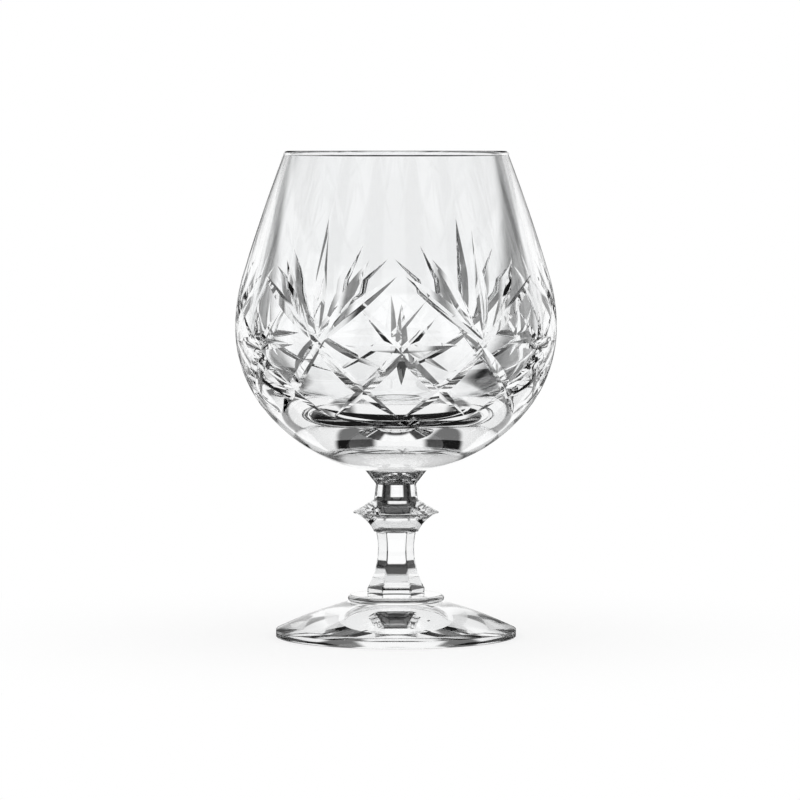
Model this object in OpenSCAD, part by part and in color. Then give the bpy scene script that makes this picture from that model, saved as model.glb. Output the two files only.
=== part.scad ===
// Cut-crystal brandy snifter: a blown bowl with mitre-cut fans and stars, a bladed knop,
// a six-sided cut shank, a round collar and a domed foot, each fused to the next on a flat seat.
// Millimetres, +Z up, origin on the table at the centre of the foot.

/* [Bowl] */
// Greatest outside diameter of the bowl
bowl_d = 88; // [82:0.5:94]
// Outside diameter of the mouth
rim_d = 61.5; // [56:0.5:68]
// Height of the bowl from its seat to the rim
bowl_h = 87.4; // [82:0.2:96]
// Height of the greatest diameter above the seat
belly_h = 39.2; // [38:0.1:42]
// Radius of the outline above the greatest diameter, as a share of one arc from there to the rim
shoulder_share = 0.55; // [0.5:0.01:0.62]
// Radius of the outline below the greatest diameter, as a share of that diameter's height
flank_share = 0.92; // [0.86:0.01:0.95]
// Radius of the nearly straight outline from the shoulder to the rim
wall_arc_r = 450; // [300:10:600]
// Thickness of the wall just under the rim
rim_wall = 1.6; // [1.2:0.1:2.4]
// Diameter of the bead that fire-polishing leaves on the rim
rim_bead_d = 1.9; // [1.7:0.1:2.8]
// Thickness of the wall at the greatest diameter
belly_wall = 3.6; // [3:0.1:4.4]
// Thickness of the solid glass under the hollow
base_wall = 14; // [9:0.2:15]
// Radius of the hollow's outline below the greatest diameter, as a share of its depth there
hollow_share = 0.93; // [0.86:0.01:0.95]

/* [Cut pattern] */
// Number of fans round the bowl, with a star between each two
repeats = 6; // [5:1:7]
// Height of the line through the fans' and stars' centres above the seat
pattern_h = 36; // [33:0.1:38]
// Height of the plain band between the fans' tips and the rim
plain_h = 21; // [17:0.2:25]
// Rise of the blades' roots above the fan's centre
root_rise = 1.6; // [1:0.1:4]
// Drop of the long diagonals below the line
tail_drop = 19.5; // [15:0.5:21]
// Rise of the star's upright ray
star_rise = 11; // [9:0.5:14]
// Drop of the star's upright ray
star_drop = 10.5; // [7:0.5:12]
// Rise of the star's slanting rays
ray_rise = 9; // [7:0.5:11]
// Depth of a cut at its middle
cut_depth = 1; // [0.7:0.05:1.3]
// Angle between the two faces of the mitre wheel
mitre_angle = 120; // [100:1:130]

/* [Knop] */
// Diameter of the seat under the bowl
seat_d = 17; // [15:0.2:19]
// Height of the knop from shank to bowl
knop_h = 16.8; // [15.8:0.2:20]
// Diameter of the knop's sharp edge
blade_d = 23.4; // [21:0.2:27]
// Height of the sharp edge above the shank
blade_h = 5.4; // [4.8:0.1:6]
// Thickness of the sharp edge's polished land
blade_land = 0.3; // [0.2:0.05:0.6]
// Height of the cone over the sharp edge
cone_h = 3.3; // [2.6:0.1:4]
// Diameter at the top of that cone
neck_d = 12; // [11:0.1:13]
// Radius of the hollow between sharp edge and shank
under_hollow_r = 10; // [8:0.1:14]
// Diameter of the waist under the flare
waist_d = 11; // [9.6:0.2:12]
// Height of the flare from the waist to the bowl
flare_h = 3.8; // [3:0.1:4.4]
// Diameter of the seat on the shank
shank_seat_d = 12.2; // [11.8:0.1:14]

/* [Stem] */
// Length of the shank
stem_l = 17.3; // [15:0.1:21]
// Number of cut flats
flats = 6; // [6:1:8]
// Distance across the flats at the narrowest
across_flats = 8.8; // [8:0.1:9.4]
// Radius of the wheel that cuts the flats
flat_wheel_r = 25; // [24:0.5:34]
// Depth of the narrowest place below the knop
narrow_drop = 4.8; // [4:0.1:6]
// Height of the straight-sided plinth at the foot of the shank
plinth_h = 1.6; // [1:0.1:2.4]

/* [Collar] */
// Diameter of the collar between shank and foot
collar_d = 26.4; // [24:0.2:30]
// Thickness of the collar
collar_t = 2.1; // [1.6:0.1:3]

/* [Foot] */
// Diameter of the foot
foot_d = 68; // [62:0.5:74]
// Height of the foot at the collar's seat
foot_h = 9.4; // [8:0.1:11]
// Diameter of the collar's seat on the foot
foot_top_d = 26.8; // [25:0.2:31]
// Thickness of the foot's edge
edge_t = 2.2; // [1.8:0.1:3]
// Height at which the dome runs into the rounded edge
dome_end_h = 1.9; // [1.4:0.1:2]
// Radius of the foot's domed top in section
dome_r = 130; // [80:1:200]
// Depth of the hollow ground under the foot
kick_h = 1.2; // [0.6:0.1:1.8]
// Width of the flat ring that rests on the table
rest_w = 5; // [3:0.1:7]

/* [Hidden] */
$fn = 128;

// Heights at which each piece is fused to the one below it
collar_z = foot_h;
stem_z = collar_z + collar_t;
knop_z = stem_z + stem_l;
bowl_z = knop_z + knop_h;

bowl_r = bowl_d / 2;
rim_r = rim_d / 2;
seat_r = seat_d / 2;
bead_r = rim_bead_d / 2;
wall_top = bowl_h - bead_r;
wall_h = wall_top - belly_h;
draw_in = bowl_r - rim_r;
shoulder_r = shoulder_share * (wall_h * wall_h + draw_in * draw_in) / (2 * draw_in);
flank_r = flank_share * belly_h;
hollow_flank_r = hollow_share * (belly_h - base_wall);
fan_rise = bowl_h - plain_h - pattern_h;
blade_r = blade_d / 2;
neck_r = neck_d / 2;
waist_r = waist_d / 2;
shank_seat_r = shank_seat_d / 2;
collar_r = collar_d / 2;
foot_r = foot_d / 2;
foot_top_r = foot_top_d / 2;
edge_r = edge_t / 2;
rest_r = foot_r - edge_r;
kick_r = rest_r - rest_w;

// How far polishing takes back the corners of the plinth
corner_polish = 0.12;

// Where two arcs of an outline meet: their overlap in degrees, and how far one is let into the other
lap = 3;
let_in = 0.005;

// Height of the centre of the arc that closes an outline at the bottom: the arc touches the
// flank arc f of a bowl with radius r and belly height b, and meets the seat at radius s
function base_centre(r, f, b, s) =
    let (a = r - f, k = s * s + f * f - a * a - b * b, q = b * b - f * f)
    (sqrt(b * b * k * k - q * (k * k - 4 * f * f * s * s)) - b * k) / (2 * q);

// Lean at which the wall leaves the shoulder arc s to end at radius rim, h above the belly
function wall_lean(r, s, rim, h) =
    let (across = rim - r + s, away = norm([across, h]), more = wall_arc_r - s)
    atan2(h, across) - acos((wall_arc_r * wall_arc_r - more * more - away * away) / (2 * more * away));

// Centre of the wall's arc, on the line from the shoulder arc's end through its centre
function wall_centre(r, s, lean) = [r - s, belly_h] - (wall_arc_r - s) * [cos(lean), sin(lean)];

// Centre of the arc of radius r through p and q, on the right-hand side going from p to q
function arc_centre(p, q, r) =
    let (chord = q - p, half = norm(chord) / 2)
    (p + q) / 2 + [chord[1], -chord[0]] / norm(chord) * sqrt(r * r - half * half);

// Outside of the bowl as numbers, for placing the cuts on it
base_z = base_centre(bowl_r, flank_r, belly_h, seat_r);
base_r = norm([seat_r, base_z]);
flank_end_z = base_z + base_r * sin(atan2(belly_h - base_z, bowl_r - flank_r));
lean = wall_lean(bowl_r, shoulder_r, rim_r, wall_h);
wall_z = belly_h + shoulder_r * sin(lean);
wall_c = wall_centre(bowl_r, shoulder_r, lean);

function skin_lean(z) =
    z > wall_z ? asin((z - wall_c[1]) / wall_arc_r)
    : z > belly_h ? asin((z - belly_h) / shoulder_r)
    : z > flank_end_z ? asin((z - belly_h) / flank_r)
    : asin((z - base_z) / base_r);
function skin_r(z) =
    z > wall_z ? wall_c[0] + wall_arc_r * cos(skin_lean(z))
    : z > belly_h ? bowl_r - shoulder_r * (1 - cos(skin_lean(z)))
    : z > flank_end_z ? bowl_r - flank_r * (1 - cos(skin_lean(z)))
    : base_r * cos(skin_lean(z));

// Point on the outside and the direction straight out of it, for a place given as [turn, height]
function skin(p) = [skin_r(p[1]) * cos(p[0]), skin_r(p[1]) * sin(p[0]), p[1]];
function skin_out(p) =
    let (e = skin_lean(p[1]))
    [cos(e) * cos(p[0]), cos(e) * sin(p[0]), sin(e)];
function unit(v) = v / norm(v);

// Heights of the fan's inner and outer pairs of blades, as shares of its middle blade's rise
inner_rise_share = 0.74;
outer_rise_share = 0.6;

// Places of the blade tips, as shares of half the turn from one fan to the next
inner_share = 0.6;
outer_share = 0.95;
root_share = 0.09;
tail_share = 0.97;
ray_share = 0.46;
cross_share = 0.1;
level_share = 0.66;

half_turn = 180 / repeats;
inner_turn = inner_share * half_turn;
outer_turn = outer_share * half_turn;
root_turn = root_share * half_turn;
tail_turn = tail_share * half_turn;
ray_turn = ray_share * half_turn;
cross_turn = cross_share * half_turn;
level_turn = level_share * half_turn;
inner_rise = inner_rise_share * fan_rise;
outer_rise = outer_rise_share * fan_rise;

// Both ends of each cut of one fan and the star beside it, as [turn, height] from the fan's centre
fan_cuts = concat(
    [[[0, root_rise], [0, fan_rise]]],
    [for (s = [-1, 1]) [[s * root_turn, root_rise], [s * inner_turn, inner_rise]]],
    [for (s = [-1, 1]) [[-s * root_turn, -root_rise / 2], [s * outer_turn, outer_rise]]],
    [for (s = [-1, 1]) [[-s * cross_turn, root_rise], [s * tail_turn, -tail_drop]]]
);
star_cuts = concat(
    [[[0, star_rise], [0, -star_drop]]],
    [[[-level_turn, 0], [level_turn, 0]]],
    [for (s = [-1, 1]) [[s * ray_turn, ray_rise], [-s * tail_turn, -tail_drop]]]
);
cuts = concat(fan_cuts, [for (c = star_cuts) c + [[half_turn, 0], [half_turn, 0]]]);

// Half-slice of a disc outline between two directions
module sector(r, from, to) {
    reach = 2 * r;
    mid = (from + to) / 2;
    intersection() {
        circle(r);
        polygon([
            [0, 0],
            reach * [cos(from), sin(from)],
            reach * [cos(mid), sin(mid)],
            reach * [cos(to), sin(to)]
        ]);
    }
}

// Half-section of a snifter's body: bottom arc, flank arc, shoulder arc and leaning wall
module body_outline(r, flank, shoulder, seat, low, rim) {
    z = low + base_centre(r, flank, belly_h - low, seat);
    bottom = norm([seat, z - low]);
    turn = atan2(belly_h - z, r - flank);
    tilt = wall_lean(r, shoulder, rim, wall_h);
    wall_end = 2 * asin(wall_h / wall_arc_r);
    intersection() {
        union() {
            translate([0, z]) sector(bottom, -90, turn);
            translate([r - flank, belly_h] + let_in * [cos(turn), sin(turn)])
                sector(flank, turn - lap, lap);
            translate([r - shoulder, belly_h]) sector(shoulder, 0, tilt + lap);
            translate(wall_centre(r, shoulder, tilt) - [let_in, 0])
                sector(wall_arc_r, tilt, tilt + wall_end);
            polygon([[0, (low + belly_h) / 2], [r - flank / 2, belly_h], [0, (belly_h + wall_top) / 2]]);
        }
        translate([0, low]) square([r, wall_top - low]);
    }
}

// Edge of a mitre wheel following a cut: a V whose tip runs along the arc through the cut's two
// ends on the glass and the bottom of its middle, so that the cut fades out at both ends
module mitre(p, q) {
    a = skin(p);
    b = skin(q);
    mid = (a + b) / 2;
    out = skin_out((p + q) / 2);
    u = unit(b - a);
    v = unit(out - (out * u) * u);
    w = cross(u, v);
    low = skin((p + q) / 2) - cut_depth * out - mid;
    half = norm(b - a) / 2;
    rise = low * v;
    back = ((low * u) * (low * u) + rise * rise - half * half) / (2 * rise);
    r = norm([half, back]);
    side = rise > 0 ? 1 : -1;
    x = side * v;
    y = -side * u;
    o = mid + back * v;
    sweep = asin(half / r) + lap;
    tall = 2 * cut_depth;
    wide = tall * tan(mitre_angle / 2);
    multmatrix([
        [x[0], y[0], w[0], o[0]],
        [x[1], y[1], w[1], o[1]],
        [x[2], y[2], w[2], o[2]],
        [0, 0, 0, 1]
    ])
        rotate(-sweep)
            rotate_extrude(angle = 2 * sweep)
                polygon([[r, 0], [r + side * tall, -wide], [r + side * tall, wide]]);
}

// Blown body with its hollow and fire-polished rim
module bowl_blank() {
    rotate_extrude() {
        difference() {
            body_outline(bowl_r, flank_r, shoulder_r, seat_r, 0, rim_r);
            body_outline(
                bowl_r - belly_wall, hollow_flank_r, shoulder_r - belly_wall, 0, base_wall, rim_r - rim_wall
            );
        }
        translate([rim_r - rim_wall / 2, wall_top]) circle(bead_r);
    }
}

// The blank with the first n cuts of every repeat taken out of it, one cut after another
module cut_bowl(n) {
    if (n == 0) {
        bowl_blank();
    } else {
        difference() {
            cut_bowl(n - 1);
            for (i = [0 : repeats - 1])
                rotate(2 * half_turn * i)
                    mitre(cuts[n - 1][0] + [0, pattern_h], cuts[n - 1][1] + [0, pattern_h]);
        }
    }
}

// Bowl: blown lead crystal, cut on its outside with mitre wheels and polished
module bowl() {
    color([0.86, 0.9, 0.92, 0.35])
        translate([0, 0, bowl_z])
            cut_bowl(len(cuts));
}

// Knop: solid button tooled to a sharp edge all round, with a waist and a flare fused under the bowl
module knop() {
    edge_z = blade_h - blade_land;
    color([0.84, 0.89, 0.91, 0.35])
        translate([0, 0, knop_z])
            rotate_extrude()
                difference() {
                    polygon([
                        [0, 0],
                        [shank_seat_r, 0],
                        [blade_r, edge_z],
                        [blade_r, blade_h],
                        [neck_r, blade_h + cone_h],
                        [waist_r, knop_h - flare_h],
                        [seat_r, knop_h],
                        [0, knop_h]
                    ]);
                    translate(arc_centre([shank_seat_r, 0], [blade_r, edge_z], under_hollow_r))
                        circle(under_hollow_r);
                }
}

// Stem: hollow flats cut down it by a wheel meet in sharp arrises and end on a straight-sided plinth
module stem() {
    narrow_z = stem_l - narrow_drop;
    wheel_x = across_flats / 2 + flat_wheel_r;
    spread = narrow_z - plinth_h;
    plinth_r = (wheel_x - sqrt(flat_wheel_r * flat_wheel_r - spread * spread)) / cos(180 / flats);
    color([0.84, 0.89, 0.91, 0.35])
        translate([0, 0, stem_z])
            difference() {
                intersection() {
                    cylinder(r = plinth_r, h = stem_l, $fn = flats);
                    cylinder(r = plinth_r - corner_polish, h = stem_l);
                }
                for (i = [0 : flats - 1])
                    rotate(360 / flats * (i + 0.5))
                        translate([wheel_x, 0, narrow_z])
                            rotate([90, 0, 0])
                                cylinder(r = flat_wheel_r, h = 2 * plinth_r, center = true);
            }
}

// Collar: round-edged button of glass between the shank and the foot
module collar() {
    half = collar_t / 2;
    color([0.84, 0.89, 0.91, 0.35])
        translate([0, 0, collar_z])
            rotate_extrude() {
                square([collar_r - half, collar_t]);
                translate([collar_r - half, half]) sector(half, -90, 90);
            }
}

// Foot: domed disc with a rounded edge, ground hollow underneath to leave a flat resting ring
module foot() {
    kick_sphere_r = (kick_r * kick_r + kick_h * kick_h) / (2 * kick_h);
    color([0.86, 0.9, 0.92, 0.35])
        rotate_extrude()
            difference() {
                intersection() {
                    translate(arc_centre([foot_top_r, foot_h], [rest_r, dome_end_h], dome_r))
                        circle(dome_r);
                    union() {
                        square([rest_r, foot_h]);
                        translate([rest_r, edge_r]) sector(edge_r, -90, 90);
                    }
                }
                translate([0, kick_h - kick_sphere_r]) circle(kick_sphere_r);
            }
}

bowl();
knop();
stem();
collar();
foot();
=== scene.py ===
import math
from collections import namedtuple

import bmesh
import bpy
import numpy as np
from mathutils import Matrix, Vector


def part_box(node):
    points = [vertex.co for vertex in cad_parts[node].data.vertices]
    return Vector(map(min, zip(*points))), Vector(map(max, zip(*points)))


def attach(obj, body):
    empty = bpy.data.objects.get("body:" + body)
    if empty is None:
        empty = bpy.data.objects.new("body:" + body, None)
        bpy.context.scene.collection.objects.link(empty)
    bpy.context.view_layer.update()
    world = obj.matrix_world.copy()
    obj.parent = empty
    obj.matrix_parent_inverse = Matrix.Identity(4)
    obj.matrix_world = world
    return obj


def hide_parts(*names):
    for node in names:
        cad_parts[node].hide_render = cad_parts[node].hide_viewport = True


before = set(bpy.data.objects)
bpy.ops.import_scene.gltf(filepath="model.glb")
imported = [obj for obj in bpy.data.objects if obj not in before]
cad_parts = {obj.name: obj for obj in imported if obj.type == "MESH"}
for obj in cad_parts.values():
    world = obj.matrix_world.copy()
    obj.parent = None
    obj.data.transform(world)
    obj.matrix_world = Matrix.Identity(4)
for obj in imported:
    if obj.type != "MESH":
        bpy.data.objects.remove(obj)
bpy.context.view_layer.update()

# Bowl
# Blown from clear lead crystal with a thick base, fire-polished at the rim and cut outside with
# mitre wheels: six fans of blades, with a star between each two. Fused on the knop's flare.
mm = 0.001


def tenth(length):
    """A length of the frame to the tenth of a millimetre that it was drawn to."""
    return round(length / mm, 1) * mm


bowl_low, bowl_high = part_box("bowl")
seat_z = tenth(bowl_low[2])
rim_z = tenth(bowl_high[2])
bowl_r = tenth(bowl_high[0])
seat_r = 8.5 * mm
belly_z = seat_z + 39.2 * mm
rim_r = 30.75 * mm
rim_wall = 1.6 * mm
belly_wall = 3.6 * mm
bead_r = 0.95 * mm
wall_top_z = rim_z - bead_r
wall_arc_r = 450 * mm
draw_in = bowl_r - rim_r
shoulder_share = 0.55
shoulder_r = shoulder_share * ((wall_top_z - belly_z) ** 2 + draw_in**2) / (2 * draw_in)
flank_share = 0.92
flank_r = flank_share * (belly_z - seat_z)
hollow_z = seat_z + 14 * mm
hollow_share = 0.93
hollow_flank_r = hollow_share * (belly_z - hollow_z)
bowl_sides = 288
outer_chord = 1.0 * mm
inner_chord = 1.2 * mm
bead_chord = 0.25 * mm
skin_corner = math.radians(12)
outside_of_bead = math.radians(-80), math.radians(30)
inside_of_bead = math.radians(260), math.radians(150)
halvings = 50

Arc = namedtuple("Arc", "x z r start end")


def point_on(arc, angle):
    return arc.x + arc.r * math.cos(angle), arc.z + arc.r * math.sin(angle)


def points_along(arc, chord, skip_first=False):
    """Points of a half-section along an arc, about one chord apart."""
    count = max(2, math.ceil(abs(arc.end - arc.start) * arc.r / chord))
    step = (arc.end - arc.start) / count
    return [point_on(arc, arc.start + step * i) for i in range(1 if skip_first else 0, count + 1)]


def halved(low, high, is_low):
    """Value between low and high at which is_low stops being true."""
    for _ in range(halvings):
        middle = (low + high) / 2
        low, high = (middle, high) if is_low(middle) else (low, middle)
    return low


def base_rise(r, flank, belly, seat):
    """Height over the bottom of the base arc's centre, which lies on the axis. The arc starts at the
    edge of the seat and runs into the flank's arc without a corner."""
    reach = r - flank
    k = seat**2 + flank**2 - reach**2 - belly**2
    q = belly**2 - flank**2
    return (math.sqrt((belly * k) ** 2 - q * (k**2 - (2 * flank * seat) ** 2)) - belly * k) / (2 * q)


def wall_lean(r, shoulder, rim):
    """Direction in which the shoulder's arc runs into the long arc of the wall, which ends at the rim."""
    height = wall_top_z - belly_z
    across = rim - r + shoulder
    away = math.hypot(across, height)
    more = wall_arc_r - shoulder
    turn = math.acos((wall_arc_r**2 - more**2 - away**2) / (2 * more * away))
    return math.atan2(height, across) - turn


def wall_arcs(r, flank, shoulder, seat, bottom, rim):
    """Arcs of one face of the wall from the bottom up: base, flank, shoulder and wall."""
    rise = base_rise(r, flank, belly_z - bottom, seat)
    turn = math.atan2(belly_z - bottom - rise, r - flank)
    lean = wall_lean(r, shoulder, rim)
    more = wall_arc_r - shoulder
    wall_x = r - shoulder - more * math.cos(lean)
    wall_z = belly_z - more * math.sin(lean)
    return [
        Arc(0, bottom + rise, math.hypot(seat, rise), math.atan2(-rise, seat), turn),
        Arc(r - flank, belly_z, flank, turn, 0),
        Arc(r - shoulder, belly_z, shoulder, 0, lean),
        Arc(wall_x, wall_z, wall_arc_r, lean, math.asin((wall_top_z - wall_z) / wall_arc_r)),
    ]


def bead_meets(wall, low, high):
    """Direction on the rim's bead, between low and high, at which it runs into a face of the wall."""

    def off(angle):
        x, z = point_on(bead, angle)
        return math.hypot(x - wall.x, z - wall.z) < wall.r

    first = off(low)
    return halved(low, high, lambda angle: off(angle) == first)


def up_to_bead(wall, angle):
    x, z = point_on(bead, angle)
    return wall._replace(end=math.asin((z - wall.z) / wall.r))


outer = wall_arcs(bowl_r, flank_r, shoulder_r, seat_r, seat_z, rim_r)
inner = wall_arcs(
    bowl_r - belly_wall, hollow_flank_r, shoulder_r - belly_wall, 0, hollow_z, rim_r - rim_wall
)
bead = Arc(rim_r - rim_wall / 2, wall_top_z, bead_r, 0, 0)
bead = bead._replace(
    start=bead_meets(outer[3], *outside_of_bead),
    end=bead_meets(inner[3], *inside_of_bead),
)
outer[3] = up_to_bead(outer[3], bead.start)
inner[3] = up_to_bead(inner[3], bead.end)


class Field:
    """A value that changes over a surface: a shader socket with plain arithmetic."""

    def __init__(self, tree, socket):
        self.tree = tree
        self.socket = socket

    def node(self, kind, sockets, out=0, **settings):
        """Adds a node by its type, with its settings and the values or links of its sockets."""
        new = self.tree.nodes.new(kind)
        for key, value in settings.items():
            setattr(new, key, value)
        for key, value in sockets.items():
            if isinstance(value, Field):
                self.tree.links.new(value.socket, new.inputs[key])
            else:
                new.inputs[key].default_value = value
        return Field(self.tree, new.outputs[out])

    def maths(self, operation, other=0.0):
        return self.node("ShaderNodeMath", {0: self, 1: other}, operation=operation)

    def parts(self):
        """The three numbers of a vector."""
        first = self.node("ShaderNodeSeparateXYZ", {0: self})
        return [Field(self.tree, socket) for socket in first.socket.node.outputs]

    def feed(self, socket):
        self.tree.links.new(self.socket, socket)

    def __add__(self, other):
        return self.maths("ADD", other)

    def __mul__(self, other):
        return self.maths("MULTIPLY", other)

    def __sub__(self, other):
        return self.maths("SUBTRACT", other)

    def __rsub__(self, other):
        return self.node("ShaderNodeMath", {0: other, 1: self}, operation="SUBTRACT")

    __radd__ = __add__
    __rmul__ = __mul__


def nodes_of(name):
    """A new material and its Object coordinates."""
    material = bpy.data.materials.new(name)
    material.use_nodes = True
    tree = material.node_tree
    return material, Field(tree, tree.nodes.new("ShaderNodeTexCoord").outputs["Object"])


crystal_index = 1.54
clear = (1, 1, 1, 1)
cord_tint = (0.985, 0.995, 1, 1)
cord_detail = 2.0
smear_share = 0.25
smear_detail = 3.0


def crystal(name, cord_size, cord_depth, haze):
    """Clear crystal: cords in the glass tint it a little and bend its skin, and its polish is uneven.

    cord_size and cord_depth are lengths, and haze is the roughness of the worst polished spots.
    """
    material, spot = nodes_of(name)
    shader = spot.tree.nodes["Principled BSDF"]
    shader.inputs["Transmission Weight"].default_value = 1
    shader.inputs["IOR"].default_value = crystal_index
    cord_noise = {"Vector": spot, "Scale": 1 / cord_size, "Detail": cord_detail}
    smear_noise = {"Vector": spot, "Scale": 1 / (smear_share * cord_size), "Detail": smear_detail}
    cords = spot.node("ShaderNodeTexNoise", cord_noise)
    smears = spot.node("ShaderNodeTexNoise", smear_noise)
    colours = {"Factor": cords, "A": clear, "B": cord_tint}
    spot.node("ShaderNodeMix", colours, "Result", data_type="RGBA").feed(shader.inputs["Base Color"])
    (smears * smears * haze).feed(shader.inputs["Roughness"])
    bump = spot.node("ShaderNodeBump", {"Distance": cord_depth, "Height": cords})
    bump.feed(shader.inputs["Normal"])
    return material


def fused_seat():
    """The face where two pieces have become one glass: nothing is seen of it."""
    material = bpy.data.materials.new("fused joint")
    material.use_nodes = True
    material.node_tree.nodes["Principled BSDF"].inputs["Alpha"].default_value = 0
    return material


bowl_glass = crystal("bowl crystal", cord_size=30 * mm, cord_depth=0.02 * mm, haze=0.03)
cut_glass = crystal("cut facets", cord_size=4 * mm, cord_depth=0.004 * mm, haze=0.06)
joint = fused_seat()


def spin(name, section, sides, materials, slots):
    """Closed mesh turned round +Z from a half-section that starts and ends on the axis. A distance
    from the axis may be a function of the turn, and each step of the section has a material slot."""
    rings = section[1:-1]
    turns = [2 * math.pi * j / sides for j in range(sides)]
    points = [(0, 0, section[0][1])]
    for reach, z in rings:
        for t in turns:
            r = reach(t) if callable(reach) else reach
            points.append((r * math.cos(t), r * math.sin(t), z))
    points.append((0, 0, section[-1][1]))
    top = len(points) - 1
    last_ring = top - sides
    faces, kinds = [], []
    for j in range(sides):
        k = (j + 1) % sides
        faces.append((0, 1 + k, 1 + j))
        kinds.append(slots[0])
        faces.append((last_ring + j, last_ring + k, top))
        kinds.append(slots[-1])
        for i in range(len(rings) - 1):
            a, b = 1 + i * sides, 1 + (i + 1) * sides
            faces.append((a + j, a + k, b + k, b + j))
            kinds.append(slots[i + 1])
    mesh = bpy.data.meshes.new(name)
    mesh.from_pydata(points, [], faces)
    for material in materials:
        mesh.materials.append(material)
    mesh.polygons.foreach_set("material_index", kinds)
    mesh.polygons.foreach_set("use_smooth", [True] * len(mesh.polygons))
    mesh.update()
    return mesh


def place(name, mesh):
    piece = bpy.data.objects.new(name, mesh)
    bpy.context.collection.objects.link(piece)
    return piece


section = [(0, seat_z)] + points_along(outer[0], outer_chord)
for arc in outer[1:]:
    section += points_along(arc, outer_chord, True)
section += points_along(bead, bead_chord, True)
for arc in reversed(inner):
    section += points_along(arc._replace(start=arc.end, end=arc.start), inner_chord, True)
section[-1] = (0, hollow_z)
bowl_slots = [1] + [0] * (len(section) - 2)
bowl = place("bowl_visual", spin("bowl", section, bowl_sides, [bowl_glass, joint, cut_glass], bowl_slots))

cut_depth = 1.0 * mm
mitre_half_angle = math.radians(60)
cut_overrun = 2 * mm
cut_steps = 48


def skin(turn, z):
    """Point on the bowl's outside and the direction straight out of it."""
    arc = next((a for a in outer if z <= point_on(a, a.end)[1]), outer[3])
    slope = math.asin((z - arc.z) / arc.r)
    around = Vector((math.cos(turn), math.sin(turn), 0))
    upward = Vector((0, 0, 1))
    point = around * point_on(arc, slope)[0] + upward * z
    return point, around * math.cos(slope) + upward * math.sin(slope)


def mitre(name, start, end):
    """Edge of the mitre wheel along a cut. It meets the skin at both ends, each given as a turn and a
    height, and is as deep as the cut in the middle."""
    a, b = skin(*start)[0], skin(*end)[0]
    top, out = skin((start[0] + end[0]) / 2, (start[1] + end[1]) / 2)
    mid = (a + b) / 2
    along = (b - a).normalized()
    up = (out - out.dot(along) * along).normalized()
    side = along.cross(up)
    deepest = top - cut_depth * out - mid
    half = (b - a).length / 2
    rise = deepest.dot(up)
    back = (deepest.dot(along) ** 2 + rise**2 - half**2) / (2 * rise)
    r = math.hypot(half, back)
    bulge = 1 if rise > 0 else -1
    centre = mid + back * up
    sweep = math.asin(half / r) + cut_overrun / r
    tall = 2 * cut_depth
    wide = tall * math.tan(mitre_half_angle)
    points, faces = [], []
    for i in range(cut_steps + 1):
        t = sweep * (2 * i / cut_steps - 1)
        spoke = bulge * math.cos(t) * up + math.sin(t) * along
        rim = centre + (r + bulge * tall) * spoke
        points += [centre + r * spoke, rim - wide * side, rim + wide * side]
    for i in range(cut_steps):
        for k in range(3):
            p, q = 3 * i + k, 3 * i + (k + 1) % 3
            faces.append((p, q, q + 3, p + 3))
    faces += [(0, 2, 1), (3 * cut_steps, 3 * cut_steps + 1, 3 * cut_steps + 2)]
    mesh = bpy.data.meshes.new(name)
    mesh.from_pydata(points, [], faces)
    mesh.materials.append(cut_glass)
    bm = bmesh.new()
    bm.from_mesh(mesh)
    bmesh.ops.recalc_face_normals(bm, faces=bm.faces)
    bm.to_mesh(mesh)
    bm.free()
    return place(name, mesh)


def copies_round_axis():
    """Geometry nodes that set copies of a shape evenly round +Z."""
    group = bpy.data.node_groups.new("copies round the axis", "GeometryNodeTree")
    group.interface.new_socket("Geometry", in_out="INPUT", socket_type="NodeSocketGeometry")
    group.interface.new_socket("Copies", in_out="INPUT", socket_type="NodeSocketInt")
    group.interface.new_socket("Material", in_out="INPUT", socket_type="NodeSocketMaterial")
    group.interface.new_socket("Geometry", in_out="OUTPUT", socket_type="NodeSocketGeometry")
    new, link = group.nodes.new, group.links.new
    given, result = new("NodeGroupInput"), new("NodeGroupOutput")
    points = new("GeometryNodePoints")
    link(given.outputs["Copies"], points.inputs["Count"])
    step = new("ShaderNodeMath")
    step.operation = "DIVIDE"
    step.inputs[0].default_value = 2 * math.pi
    link(given.outputs["Copies"], step.inputs[1])
    angle = new("ShaderNodeMath")
    angle.operation = "MULTIPLY"
    link(new("GeometryNodeInputIndex").outputs[0], angle.inputs[0])
    link(step.outputs[0], angle.inputs[1])
    turn = new("ShaderNodeCombineXYZ")
    link(angle.outputs[0], turn.inputs["Z"])
    copies = new("GeometryNodeInstanceOnPoints")
    link(points.outputs[0], copies.inputs["Points"])
    link(given.outputs["Geometry"], copies.inputs["Instance"])
    link(turn.outputs[0], copies.inputs["Rotation"])
    real = new("GeometryNodeRealizeInstances")
    link(copies.outputs[0], real.inputs[0])
    paint = new("GeometryNodeSetMaterial")
    link(real.outputs[0], paint.inputs["Geometry"])
    link(given.outputs["Material"], paint.inputs["Material"])
    link(paint.outputs[0], result.inputs[0])
    return group


fans = 6
half_repeat = math.pi / fans
pattern_z = seat_z + 36 * mm
fan_rise = rim_z - 21 * mm - pattern_z
root_rise = 1.6 * mm
tail_drop = 19.5 * mm
star_rise = 11 * mm
star_drop = 10.5 * mm
ray_rise = 9 * mm
root_share = 0.09
inner_share = 0.6
inner_rise_share = 0.74
outer_share = 0.95
outer_rise_share = 0.6
cross_share = 0.1
tail_share = 0.97
ray_share = 0.46
level_share = 0.66
star_at = 1

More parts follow.
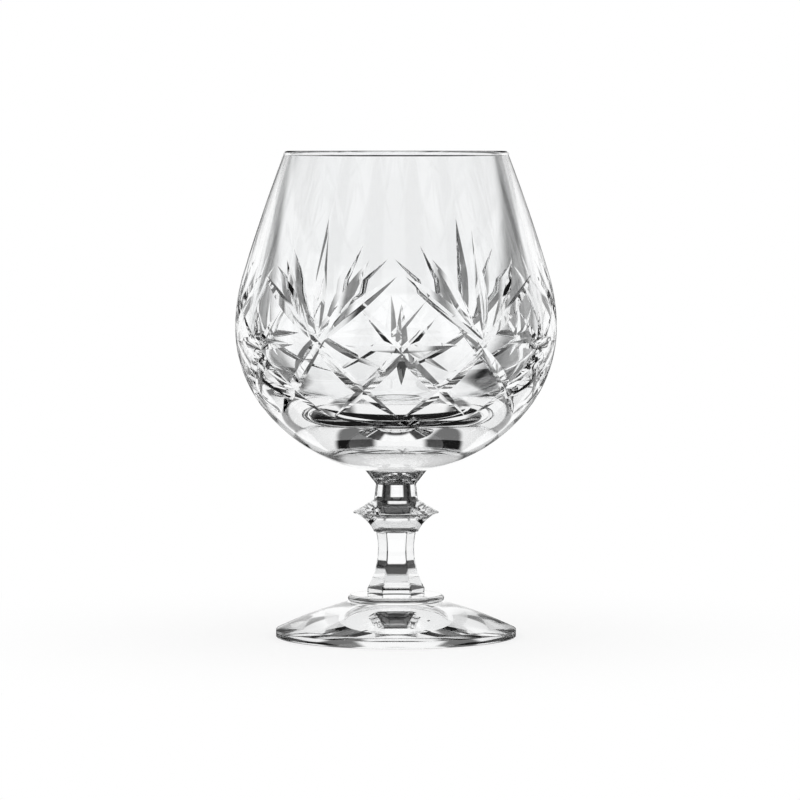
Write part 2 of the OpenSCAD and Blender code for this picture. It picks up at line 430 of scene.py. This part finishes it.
# Each cut runs between two points: a turn in halves of the repeat from the middle of the fan, and a
# height over the middle of the pattern.
cuts = [((0, root_rise), (0, fan_rise))]
cuts += [((star_at, star_rise), (star_at, -star_drop))]
cuts += [((star_at - level_share, 0), (star_at + level_share, 0))]
for s in (-1, 1):
    cuts += [
        ((s * root_share, root_rise), (s * inner_share, inner_rise_share * fan_rise)),
        ((-s * root_share, -root_rise / 2), (s * outer_share, outer_rise_share * fan_rise)),
        ((-s * cross_share, root_rise), (s * tail_share, -tail_drop)),
        ((star_at + s * ray_share, ray_rise), (star_at - s * tail_share, -tail_drop)),
    ]

ring = copies_round_axis()
inputs = {item.name: item.identifier for item in ring.interface.items_tree if item.in_out == "INPUT"}
wheels = []
for i, cut in enumerate(cuts):
    start, end = ((turn * half_repeat, pattern_z + height) for turn, height in cut)
    wheel = mitre(f"cut {i}", start, end)
    copies = wheel.modifiers.new("round the axis", "NODES")
    copies.node_group = ring
    copies[inputs["Copies"]] = fans
    copies[inputs["Material"]] = cut_glass
    bite = bowl.modifiers.new(wheel.name, "BOOLEAN")
    bite.operation = "DIFFERENCE"
    bite.solver = "MANIFOLD"
    bite.object = wheel
    wheels.append(wheel)
cut_bowl = bpy.data.meshes.new_from_object(bowl.evaluated_get(bpy.context.evaluated_depsgraph_get()))
bowl.modifiers.clear()
bowl.data = cut_bowl
for wheel in wheels:
    bpy.data.objects.remove(wheel)
cut_bowl.set_sharp_from_angle(angle=skin_corner)
axis_r = 1e-7


def values_of(items, key, kind, width=1):
    """One value, or one row of values, for each item of a mesh."""
    values = np.empty(len(items) * width, kind)
    items.foreach_get(key, values)
    return values.reshape(-1, width) if width > 1 else values


def true_normals(mesh, arcs):
    """Sets the uncut skin's normals straight off the section's arcs, each with the side that faces
    out, because the thin faces beside the cuts would spoil them."""
    count = len(mesh.polygons)
    middle = values_of(mesh.polygons, "center", float, 3)
    middle_r = np.hypot(middle[:, 0], middle[:, 1])
    nearest, arc_of = np.full(count, np.inf), np.zeros(count, int)
    for i, (arc, _) in enumerate(arcs):
        direction = np.arctan2(middle[:, 2] - arc.z, middle_r - arc.x)
        half = abs(arc.end - arc.start) / 2
        aside = direction - (arc.start + arc.end) / 2
        aside = np.abs((aside + math.pi) % (2 * math.pi) - math.pi)
        miss = np.abs(np.hypot(middle_r - arc.x, middle[:, 2] - arc.z) - arc.r)
        miss += np.maximum(0, aside - half) * arc.r
        closer = miss < nearest
        nearest[closer], arc_of[closer] = miss[closer], i
    face = np.repeat(np.arange(count), values_of(mesh.polygons, "loop_total", int))
    corner = values_of(mesh.vertices, "co", float, 3)[values_of(mesh.loops, "vertex_index", int)]
    centre = np.array([(arc.x, arc.z) for arc, _ in arcs])[arc_of][face]
    out = np.array([side for _, side in arcs])[arc_of][face]
    r = np.maximum(np.hypot(corner[:, 0], corner[:, 1]), axis_r)
    across = (r - centre[:, 0]) * out
    up = (corner[:, 2] - centre[:, 1]) * out
    across[r <= axis_r] = 0
    length = np.hypot(across, up)
    true = np.stack([across * corner[:, 0] / r, across * corner[:, 1] / r, up], 1) / length[:, None]
    normals = values_of(mesh.corner_normals, "vector", float, 3)
    uncut = values_of(mesh.polygons, "material_index", int)[face] == 0
    normals[uncut] = true[uncut]
    mesh.normals_split_custom_set(normals.tolist())


true_normals(cut_bowl, [(arc, 1) for arc in outer + [bead]] + [(arc, -1) for arc in inner])
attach(bowl, "root")
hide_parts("bowl")

# Knop
# A solid button of crystal tooled to a sharp edge all round, waisted above it and flared to meet
# the bowl. Its lower face takes the shank, its upper face is fused to the bowl's base.
knop_low, knop_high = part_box("knop")
knop_z = tenth(knop_low[2])
blade_r = tenth(knop_high[0])
blade_h = 5.4 * mm
blade_land = 0.3 * mm
blade_z = knop_z + blade_h
cone_h = 3.3 * mm
neck_r = 6 * mm
waist_r = 5.5 * mm
flare_z = seat_z - 3.8 * mm
under_hollow_r = 10 * mm
shank_seat_r = 6.1 * mm
flats = 6
across_flats = 8.8 * mm
flat_wheel_r = 25 * mm
narrow_z = knop_z - 4.8 * mm
turned_sides = 240
turned_chord = 0.3 * mm
turned_corner = math.radians(20)


def flat_reach(z):
    """Distance from the axis to the middle of a flat, which a large wheel has hollowed."""
    return across_flats / 2 + flat_wheel_r - math.sqrt(flat_wheel_r**2 - (z - narrow_z) ** 2)


def six_sided(z):
    """Distance from the axis to the shank's flats at a height, as a function of the turn."""
    half = math.pi / flats
    return lambda t: flat_reach(z) / math.cos(t % (2 * half) - half)


def arc_between(p, q, r):
    """Arc of radius r from p to q with its centre on the right."""
    dx, dz = q[0] - p[0], q[1] - p[1]
    half = math.hypot(dx, dz) / 2
    off = math.sqrt(r**2 - half**2) / (2 * half)
    x, z = (p[0] + q[0]) / 2 + dz * off, (p[1] + q[1]) / 2 - dx * off
    start = math.atan2(p[1] - z, p[0] - x)
    turn = math.atan2(q[1] - z, q[0] - x) - start
    return Arc(x, z, r, start, start + (turn + math.pi) % (2 * math.pi) - math.pi)


under_hollow = arc_between((shank_seat_r, knop_z), (blade_r, blade_z - blade_land), under_hollow_r)
section = [(0, knop_z), (six_sided(knop_z), knop_z)]
section += points_along(under_hollow, turned_chord)
section += [(blade_r, blade_z), (neck_r, blade_z + cone_h), (waist_r, flare_z)]
section += [(seat_r, seat_z), (0, seat_z)]
knop_glass = crystal("knop crystal", cord_size=20 * mm, cord_depth=0.01 * mm, haze=0.03)
knop_slots = [1] + [0] * (len(section) - 3) + [1]
knop_mesh = spin("knop", section, turned_sides, [knop_glass, joint], knop_slots)
knop_mesh.set_sharp_from_angle(angle=turned_corner)
knop = place("knop_visual", knop_mesh)
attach(knop, "root")
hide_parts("knop")

# Stem
# A short solid shank with six hollow flats cut down it by a wheel, so that it is narrowest under
# the knop and spreads towards the foot. Fused to the knop above and to the collar below.
stem_z = tenth(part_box("stem")[0][2])
plinth_z = stem_z + 1.6 * mm
arris = 0.12 * mm
stem_rows = 48


def shank(z):
    """Outline of the shank at a height: its flats, with the arrises just taken off."""
    flat = six_sided(z)
    corner = flat_reach(z) / math.cos(math.pi / flats) - arris
    return lambda t: min(flat(t), corner)


section = [(0, stem_z), (shank(plinth_z), stem_z)]
for i in range(stem_rows + 1):
    z = plinth_z + (knop_z - plinth_z) * i / stem_rows
    section.append((shank(z), z))
section.append((0, knop_z))
stem_glass = crystal("stem crystal", cord_size=12 * mm, cord_depth=0.006 * mm, haze=0.04)
stem_slots = [1] + [0] * (len(section) - 3) + [1]
stem_mesh = spin("stem", section, turned_sides, [stem_glass, joint], stem_slots)
stem_mesh.set_sharp_from_angle(angle=turned_corner)
stem = place("stem_visual", stem_mesh)
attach(stem, "root")
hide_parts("stem")

# Collar
# A round-edged button of crystal, dropped hot on the foot and pressed flat by the shank, so that it
# is fused to both.
collar_low, collar_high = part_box("collar")
foot_h = tenth(collar_low[2])
collar_r = tenth(collar_high[0])
round_r = (stem_z - foot_h) / 2
round_chord = 0.15 * mm
edge = Arc(collar_r - round_r, foot_h + round_r, round_r, -math.pi / 2, math.pi / 2)
section = [(0, foot_h)] + points_along(edge, round_chord)
section += [(shank(plinth_z), stem_z), (0, stem_z)]
collar_glass = crystal("collar crystal", cord_size=20 * mm, cord_depth=0.01 * mm, haze=0.03)
collar_slots = [1] + [0] * (len(section) - 3) + [1]
collar_mesh = spin("collar", section, turned_sides, [collar_glass, joint], collar_slots)
collar_mesh.set_sharp_from_angle(angle=turned_corner)
collar = place("collar_visual", collar_mesh)
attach(collar, "root")
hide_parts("collar")

# Foot
# A domed disc of crystal with a fire-polished edge. Its underside is ground slightly hollow, so
# that the glass stands on a flat ring. Fused to the collar.
foot_r = tenth(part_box("foot")[1][0])
foot_top_r = 13.4 * mm
edge_r = 1.1 * mm
dome_r = 130 * mm
dome_end_z = 1.9 * mm
kick_h = 1.2 * mm
rest_r = foot_r - edge_r
kick_r = rest_r - 5 * mm
kick_dome_r = (kick_r**2 + kick_h**2) / (2 * kick_h)
foot_sides = 288
dome_chord = 0.8 * mm
kick_chord = 1.0 * mm
kick = Arc(0, kick_h - kick_dome_r, kick_dome_r, math.pi / 2, math.acos(kick_r / kick_dome_r))
dome = arc_between((foot_top_r, foot_h), (rest_r, dome_end_z), dome_r)
edge = Arc(rest_r, edge_r, edge_r, -math.pi / 2, math.pi / 2)


def over_dome(angle):
    x, z = point_on(edge, angle)
    return math.hypot(x - dome.x, z - dome.z) >= dome.r


edge = edge._replace(end=halved(edge.start, edge.end, over_dome))
x, z = point_on(edge, edge.end)
section = [(0, kick_h)] + points_along(kick, kick_chord, True)
section += points_along(edge, round_chord)
section += points_along(
    dome._replace(start=math.atan2(z - dome.z, x - dome.x), end=dome.start), dome_chord, True
)
section += [(collar_r - round_r, foot_h), (0, foot_h)]
foot_glass = crystal("foot crystal", cord_size=30 * mm, cord_depth=0.015 * mm, haze=0.03)
foot_slots = [0] * (len(section) - 2) + [1]
foot_mesh = spin("foot", section, foot_sides, [foot_glass, joint], foot_slots)
foot_mesh.set_sharp_from_angle(angle=skin_corner)
foot = place("foot_visual", foot_mesh)
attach(foot, "root")
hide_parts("foot")

# Camera
# A long lens level with the rim, so that the rim is a line and the foot is seen from a little above.
# It stands to the left of straight ahead by a small turn.
aim = Vector((0.0011, 0, 0.0648))
camera_away = 1.2
camera_rise = 0.0687
camera_turn = math.radians(2)
camera_sensor = 36
camera_lens = 197.4
toward = Vector((-camera_away * math.sin(camera_turn), -camera_away * math.cos(camera_turn), camera_rise))
camera = bpy.data.objects.new("camera", bpy.data.cameras.new("camera"))
camera.data.sensor_width = camera_sensor
camera.data.lens = camera_lens
camera.data.clip_start = 0.01
camera.data.clip_end = 50
camera.location = aim + toward
camera.rotation_mode = "QUATERNION"
camera.rotation_quaternion = (-toward).to_track_quat("-Z", "Y")
bpy.context.collection.objects.link(camera)
bpy.context.scene.camera = camera

# Table and sky
# A white table under an even white sky. The table takes a faint shadow near the glass and is as
# white as the sky further away.
table_half = 6
table_drop = 0.1 * mm
table_white = (0.98, 0.98, 0.98, 1)
shadow_share = 0.3
shadow_from, shadow_to = 0.05, 0.16


def soft_step(value, low, high):
    """0 below low, 1 above high, and smooth between them."""
    ends = {"Value": value, "From Min": low, "From Max": high}
    return value.node("ShaderNodeMapRange", ends, interpolation_type="SMOOTHSTEP")


def blend_of(name, lesser, greater, share):
    """A material of two shaders, with the share of the second by place on the surface."""
    material, spot = nodes_of(name)
    nodes = spot.tree.nodes
    nodes.remove(nodes["Principled BSDF"])
    both = {0: share(*spot.parts()), 1: spot.node(*lesser), 2: spot.node(*greater)}
    spot.node("ShaderNodeMixShader", both).feed(nodes["Material Output"].inputs["Surface"])
    return material


def reach_of(across, back):
    """Distance from the axis."""
    return (across * across + back * back).maths("SQRT")


def shadow_part(across, back, up):
    return (1 - soft_step(reach_of(across, back), shadow_from, shadow_to)) * shadow_share


corners = [(x * table_half, y * table_half, -table_drop) for x, y in ((-1, -1), (1, -1), (1, 1), (-1, 1))]
table_mesh = bpy.data.meshes.new("table")
table_mesh.from_pydata(corners, [], [(0, 1, 2, 3)])
white_glow = ("ShaderNodeEmission", {"Color": clear, "Strength": 1})
white_paint = ("ShaderNodeBsdfDiffuse", {"Color": table_white})
table_mesh.materials.append(blend_of("white table", white_glow, white_paint, shadow_part))
place("table", table_mesh)

world = bpy.data.worlds.new("white sky")
world.use_nodes = True
world.node_tree.nodes["Background"].inputs["Color"].default_value = clear
world.node_tree.nodes["Background"].inputs["Strength"].default_value = 1
bpy.context.scene.world = world

# Light tent
# Clear glass draws its edges by what stands round it, so a tent of eight white panels between grey
# posts stands round it, on a dark mat with eight white strips. It is fixed, and only the glass sees it.
tent_r = 0.2
tent_h = 0.3
tent_sides = 96
panels = 8
panel_top = 0.158
strip_from = 0.07
mat_hole_r = 0.03
mat_drop = table_drop / 2
edge_fade = 0.006
cloth_level = 0.01
post_share = 0.18

# Half widths and the fade of a post, in degrees round the axis.
panel_foot_half = 11
panel_head_half = 18.5
strip_half = 10
post_fade = 4


def in_panel(across, back, half):
    """1 in a panel and 0 between two, by the degrees from the middle of the nearest panel."""
    turned = across.maths("ARCTAN2", back) * math.degrees(1)
    return 1 - soft_step(turned.maths("PINGPONG", 180 / panels), half, half + post_fade)


def lit_wall(across, back, up):
    """The panels widen upwards, and above them all is dark."""
    half = up * ((panel_head_half - panel_foot_half) / panel_top) + panel_foot_half
    lit = in_panel(across, back, half) * (1 - post_share) + post_share
    return lit * (1 - soft_step(up, panel_top, panel_top + edge_fade))


def lit_mat(across, back, up):
    """The strips start a little way off the foot."""
    off_foot = soft_step(reach_of(across, back), strip_from - edge_fade, strip_from)
    return in_panel(across, back, strip_half) * off_foot


points, faces, kinds = [(0, 0, tent_h)], [], []
for i in range(tent_sides):
    t = 2 * math.pi * i / tent_sides
    x, y = math.cos(t), math.sin(t)
    points += [(mat_hole_r * x, mat_hole_r * y, -mat_drop), (tent_r * x, tent_r * y, -mat_drop)]
    points.append((tent_r * x, tent_r * y, tent_h))
for i in range(tent_sides):
    a, b = 1 + 3 * i, 1 + 3 * ((i + 1) % tent_sides)
    faces += [(a, a + 1, b + 1, b), (a + 1, a + 2, b + 2, b + 1), (a + 2, 0, b + 2)]
    kinds += [0, 1, 1]
tent_mesh = bpy.data.meshes.new("light tent")
tent_mesh.from_pydata(points, [], faces)
dark_cloth = ("ShaderNodeEmission", {"Color": clear, "Strength": cloth_level})
for name, share in (("mat", lit_mat), ("panels and posts", lit_wall)):
    tent_mesh.materials.append(blend_of(name, dark_cloth, white_glow, share))
tent_mesh.polygons.foreach_set("material_index", kinds)
tent = place("light tent", tent_mesh)
tent.visible_camera = False
tent.visible_diffuse = False
tent.visible_shadow = False

# Picture
# Colours show as they are written, and light may bounce often enough to cross every wall of the glass.
glass_bounces = 32
gloss_bounces = 16
scene = bpy.context.scene
scene.view_settings.view_transform = "Standard"
scene.cycles.max_bounces = glass_bounces
scene.cycles.transmission_bounces = glass_bounces
scene.cycles.glossy_bounces = gloss_bounces
scene.cycles.transparent_max_bounces = glass_bounces
